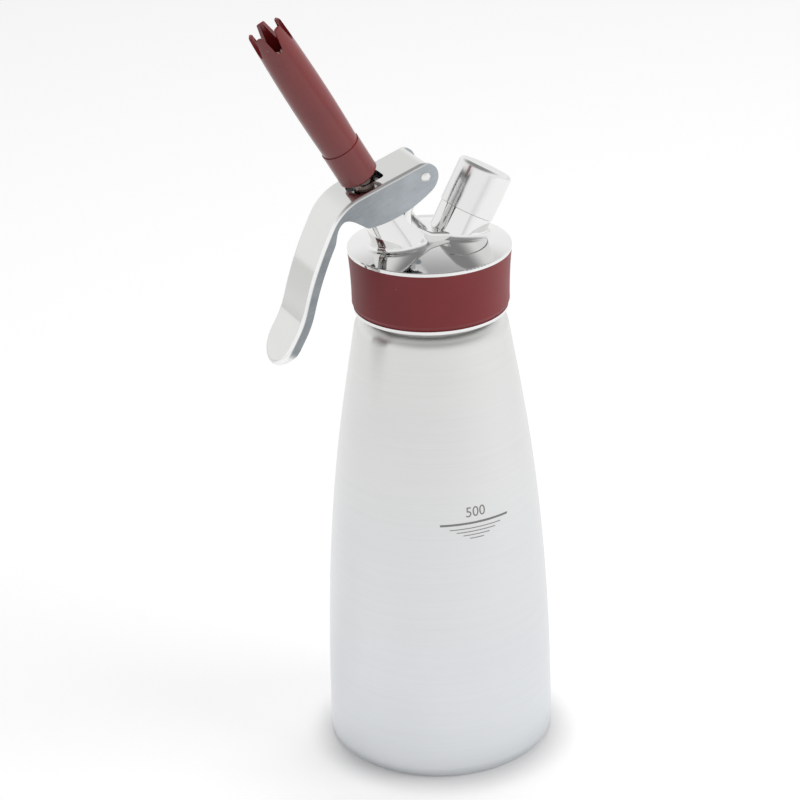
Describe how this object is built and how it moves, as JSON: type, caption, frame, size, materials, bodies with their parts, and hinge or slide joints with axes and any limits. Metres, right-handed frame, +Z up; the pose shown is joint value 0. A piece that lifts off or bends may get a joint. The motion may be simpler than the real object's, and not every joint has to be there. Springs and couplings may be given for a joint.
{
  "type": "whipped cream dispenser",
  "caption": "Lever-operated cream whipper: tapered steel bottle, polished head with a silicone band, squeeze lever, plastic decorator tip and a capped socket for a gas charger.",
  "frame": {"origin": "centre of the bottle's foot ring, on the surface that it stands on", "axes": "+Z up along the bottle's axis; the lever hangs on the -X side and the capped charger socket leans to +X; the XZ plane is the plane of symmetry"},
  "size_m": [0.1035, 0.082, 0.2806],
  "materials": {
    "brushed_bottle": "satin, brushed round the bottle",
    "polished_head": "mirror polished",
    "polished_lever": "polished, cheeks finely brushed",
    "chromed_cap": "mirror",
    "valve_steel": "turned",
    "spring_steel": "drawn wire",
    "red_silicone": "satin silicone",
    "red_plastic": "moulded, softly glossy",
    "white_plastic": "moulded",
    "seal_rubber": "smooth silicone",
    "sintered_bronze": "sintered"
  },
  "bodies": {
    "bottle": {"bottle": "brushed_bottle"},
    "head": {"head_body": "polished_head", "grip_band": "red_silicone", "head_gasket": "seal_rubber", "valve_guide": "white_plastic", "piercing_pin": "valve_steel", "gas_filter": "sintered_bronze", "charger_seal": "seal_rubber", "check_valve": "seal_rubber", "check_valve_cover": "valve_steel", "valve_spring": "spring_steel"},
    "valve": {"valve_stem": "valve_steel", "valve_collar": "valve_steel", "stem_o_ring": "seal_rubber", "valve_seal": "seal_rubber", "valve_seal_plate": "valve_steel", "valve_nut": "valve_steel"},
    "lever": {"lever": "polished_lever", "lever_pin": "valve_steel"},
    "tip": {"decorator_tip": "red_plastic", "tip_thread_insert": "valve_steel"},
    "cap": {"charger_cap": "chromed_cap", "cap_liner": "white_plastic"}
  },
  "joints": [
    {"name": "head_lift", "type": "slide", "parent": "bottle", "child": "head", "axis": [0, 0, 1], "range_m": [0, 0.03]},
    {"name": "lever_pivot", "type": "hinge", "parent": "head", "child": "lever", "pos_m": [-0.0054, 0, 0.2202], "axis": [0, -1, 0], "range_deg": [0, 10], "stiffness_Nm_per_rad": 0.6, "springref_deg": -11.46},
    {"name": "valve_stroke", "type": "slide", "parent": "head", "child": "valve", "axis": [0.4924, 0, -0.8704], "range_m": [0, 0.00303], "deforming": ["valve_spring"]},
    {"name": "tip_off", "type": "slide", "parent": "valve", "child": "tip", "axis": [-0.4924, 0, 0.8704], "range_m": [0, 0.013]},
    {"name": "cap_off", "type": "slide", "parent": "head", "child": "cap", "axis": [0.4924, 0, 0.8704], "range_m": [0, 0.014]}
  ],
  "couplings": [
    {"joint": "valve_stroke", "follows": "lever_pivot", "m_per_rad": 0.01732}
  ]
}
